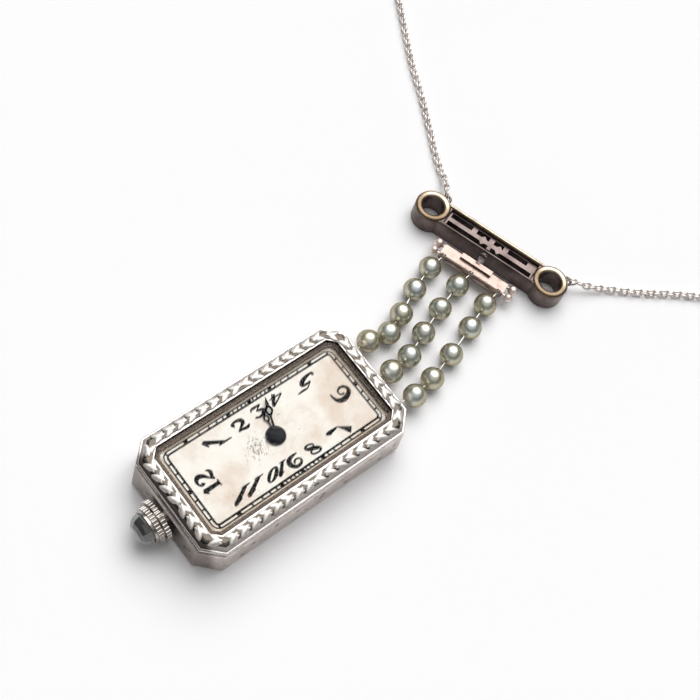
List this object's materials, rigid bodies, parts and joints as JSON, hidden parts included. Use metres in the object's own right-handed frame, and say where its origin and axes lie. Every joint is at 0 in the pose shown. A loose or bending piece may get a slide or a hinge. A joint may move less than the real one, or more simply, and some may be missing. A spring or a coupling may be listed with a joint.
{
  "type": "pendant watch",
  "caption": "Long octagonal pendant watch with a leaf-engraved bezel, hung from pearl strands, a spacer bar and an openwork clip on a fine coiled chain.",
  "frame": {"origin": "middle of the flat of the case back, on the surface that the watch lies on", "axes": "+Z out of the dial, +Y along the case towards the pearls and the clip, -Y towards the crown, +X to the side of the numeral 9"},
  "size_m": [0.0801, 0.0989, 0.0062],
  "materials": {
    "white_gold": "polished white gold, softly worn",
    "crystal": "clear, bevelled all round",
    "dial_silver": "silvered, aged cream with a pinkish tone",
    "brass_gilt": "gilt, fine grained",
    "plate_nickel": "nickelled, grained",
    "steel": "bright steel",
    "ruby": "polished synthetic ruby",
    "blued_steel": "dark blued, polished",
    "onyx": "polished dark cabochon",
    "strand_wire": "fine drawn wire",
    "pearl": "pearl, nacreous lustre",
    "yellow_gold": "pale yellow gold, worn satin",
    "chain_gold": "fine pale cable chain"
  },
  "bodies": {
    "clip": {"clip_frame": "yellow_gold", "clip_openwork": "yellow_gold", "jump_rings": "chain_gold", "chain_left": "chain_gold", "chain_right": "chain_gold", "coil_left": "chain_gold", "coil_right": "chain_gold", "clasp_body": "white_gold", "clasp_tag": "white_gold"},
    "clasp_trigger": {"clasp_trigger": "white_gold"},
    "clip_link": {"clip_link": "yellow_gold"},
    "spacer": {"spacer_bar": "yellow_gold", "strand_pin": "yellow_gold", "clip_pin": "yellow_gold"},
    "strand_left": {"pearls_left": "pearl", "wire_left": "strand_wire"},
    "strand_middle": {"pearls_middle": "pearl", "wire_middle": "strand_wire"},
    "strand_right": {"pearls_right": "pearl", "wire_right": "strand_wire"},
    "case": {"case_back": "white_gold", "case_band": "white_gold", "strand_staples": "white_gold", "bezel": "white_gold", "crystal": "crystal", "dial": "dial_silver", "movement_ring": "plate_nickel", "main_plate": "plate_nickel", "barrel_bridge": "plate_nickel", "train_bridge": "plate_nickel", "balance_cock": "plate_nickel", "pallet_cock": "plate_nickel", "jewels": "ruby", "bridge_screws": "steel", "click_spring": "steel", "case_tube": "white_gold", "hairspring": "steel"},
    "winding_pinion": {"winding_pinion": "steel"},
    "stem": {"winding_stem": "steel", "crown": "white_gold", "crown_stone": "onyx"},
    "sliding_pinion": {"sliding_pinion": "steel"},
    "setting_lever": {"setting_lever": "steel"},
    "crown_wheel": {"crown_wheel": "steel"},
    "ratchet": {"ratchet_wheel": "steel", "barrel_arbor": "steel"},
    "click": {"click": "steel"},
    "centre": {"centre_wheel": "brass_gilt", "cannon_pinion": "steel", "minute_hand": "blued_steel"},
    "hour": {"hour_wheel": "brass_gilt", "hour_hand": "blued_steel"},
    "minute_wheel": {"minute_wheel": "brass_gilt"},
    "barrel": {"barrel_drum": "brass_gilt", "mainspring": "steel"},
    "third": {"third_wheel": "brass_gilt"},
    "fourth": {"fourth_wheel": "brass_gilt"},
    "escape": {"escape_wheel": "steel"},
    "pallets": {"pallet_fork": "steel"},
    "balance": {"balance_wheel": "brass_gilt"}
  },
  "joints": [
    {"name": "clasp_trigger_turn", "type": "hinge", "parent": "clip", "child": "clasp_trigger", "pos_m": [-0.04743, 0.06664, 0.0005], "axis": [0, 0, 1], "range_deg": [0, 46], "stiffness_Nm_per_rad": 0.0001},
    {"name": "clip_link_swing", "type": "hinge", "parent": "clip", "child": "clip_link", "pos_m": [-0.00536, 0.03584, 0.00145], "axis": [0.9466, 0.3223, 0], "range_deg": [-45, 45]},
    {"name": "bar_swing", "type": "hinge", "parent": "clip_link", "child": "spacer", "pos_m": [-0.00474, 0.03402, 0.00145], "axis": [0.9466, 0.3223, 0], "range_deg": [-45, 45]},
    {"name": "strands_swing", "type": "hinge", "parent": "spacer", "child": "strand_middle", "pos_m": [-0.00436, 0.03288, 0.00145], "axis": [0.9466, 0.3223, 0], "range_deg": [-50, 50]},
    {"name": "strand_left_swing", "type": "hinge", "parent": "spacer", "child": "strand_left", "pos_m": [-0.00436, 0.03288, 0.00145], "axis": [0.9466, 0.3223, 0], "range_deg": [-50, 50]},
    {"name": "strand_right_swing", "type": "hinge", "parent": "spacer", "child": "strand_right", "pos_m": [-0.00436, 0.03288, 0.00145], "axis": [0.9466, 0.3223, 0], "range_deg": [-50, 50]},
    {"name": "case_swing", "type": "hinge", "parent": "strand_middle", "child": "case", "pos_m": [0, 0.01451, 0.0021], "axis": [1, 0, 0], "range_deg": [-45, 45]},
    {"name": "crown_turn", "type": "hinge", "parent": "case", "child": "winding_pinion", "pos_m": [0, -0.012, 0.00265], "axis": [0, 1, 0], "continuous": true},
    {"name": "crown_pull", "type": "slide", "parent": "winding_pinion", "child": "stem", "axis": [0, -1, 0], "range_m": [0, 0.00045]},
    {"name": "sliding_pinion_slide", "type": "slide", "parent": "winding_pinion", "child": "sliding_pinion", "axis": [0, 1, 0], "range_m": [0, 0.0003]},
    {"name": "setting_lever_turn", "type": "hinge", "parent": "case", "child": "setting_lever", "pos_m": [0.0024, -0.01157, 0.00265], "axis": [0, 0, 1], "range_deg": [0, 11]},
    {"name": "crown_wheel_turn", "type": "hinge", "parent": "case", "child": "crown_wheel", "pos_m": [0, -0.00925, 0.001], "axis": [0, 0, 1], "continuous": true},
    {"name": "ratchet_turn", "type": "hinge", "parent": "case", "child": "ratchet", "pos_m": [0, -0.00475, 0.001], "axis": [0, 0, 1], "continuous": true},
    {"name": "click_lift", "type": "hinge", "parent": "case", "child": "click", "pos_m": [0.00345, -0.0069, 0.001], "axis": [0, 0, 1], "range_deg": [0, 8], "stiffness_Nm_per_rad": 0.00002},
    {"name": "minute_turn", "type": "hinge", "parent": "case", "child": "centre", "pos_m": [0, 0, 0.003], "axis": [0, 0, 1], "continuous": true},
    {"name": "hour_turn", "type": "hinge", "parent": "case", "child": "hour", "pos_m": [0, 0, 0.0044], "axis": [0, 0, 1], "continuous": true},
    {"name": "minute_wheel_turn", "type": "hinge", "parent": "case", "child": "minute_wheel", "pos_m": [0.00109, -0.00156, 0.0043], "axis": [0, 0, 1], "continuous": true},
    {"name": "barrel_turn", "type": "hinge", "parent": "case", "child": "barrel", "pos_m": [0, -0.00475, 0.0025], "axis": [0, 0, 1], "continuous": true},
    {"name": "third_turn", "type": "hinge", "parent": "case", "child": "third", "pos_m": [0.00219, 0.00261, 0.0025], "axis": [0, 0, 1], "continuous": true},
    {"name": "fourth_turn", "type": "hinge", "parent": "case", "child": "fourth", "pos_m": [-0.00032, 0.00362, 0.0025], "axis": [0, 0, 1], "continuous": true},
    {"name": "escape_turn", "type": "hinge", "parent": "case", "child": "escape", "pos_m": [-0.00189, 0.00543, 0.0025], "axis": [0, 0, 1], "continuous": true},
    {"name": "pallet_turn", "type": "hinge", "parent": "case", "child": "pallets", "pos_m": [-0.0008, 0.0066, 0.0025], "axis": [0, 0, 1], "range_deg": [-5, 5]},
    {"name": "balance_turn", "type": "hinge", "parent": "case", "child": "balance", "pos_m": [0.0008, 0.00832, 0.0025], "axis": [0, 0, 1], "range_deg": [-270, 270], "stiffness_Nm_per_rad": 0.00000005}
  ],
  "couplings": [
    {"joint": "strand_left_swing", "follows": "strands_swing", "ratio": 1},
    {"joint": "strand_right_swing", "follows": "strands_swing", "ratio": 1},
    {"joint": "sliding_pinion_slide", "follows": "crown_pull", "ratio": 0.66667},
    {"joint": "setting_lever_turn", "follows": "crown_pull", "rad_per_m": 419},
    {"joint": "crown_wheel_turn", "follows": "crown_turn", "ratio": -0.5},
    {"joint": "ratchet_turn", "follows": "crown_turn", "ratio": 0.375},
    {"joint": "hour_turn", "follows": "minute_turn", "ratio": 0.083333},
    {"joint": "minute_wheel_turn", "follows": "minute_turn", "ratio": -0.33333},
    {"joint": "barrel_turn", "follows": "minute_turn", "ratio": -0.125},
    {"joint": "third_turn", "follows": "minute_turn", "ratio": -8},
    {"joint": "escape_turn", "follows": "fourth_turn", "ratio": -10},
    {"joint": "pallet_turn", "follows": "balance_turn", "ratio": 0.018519}
  ]
}
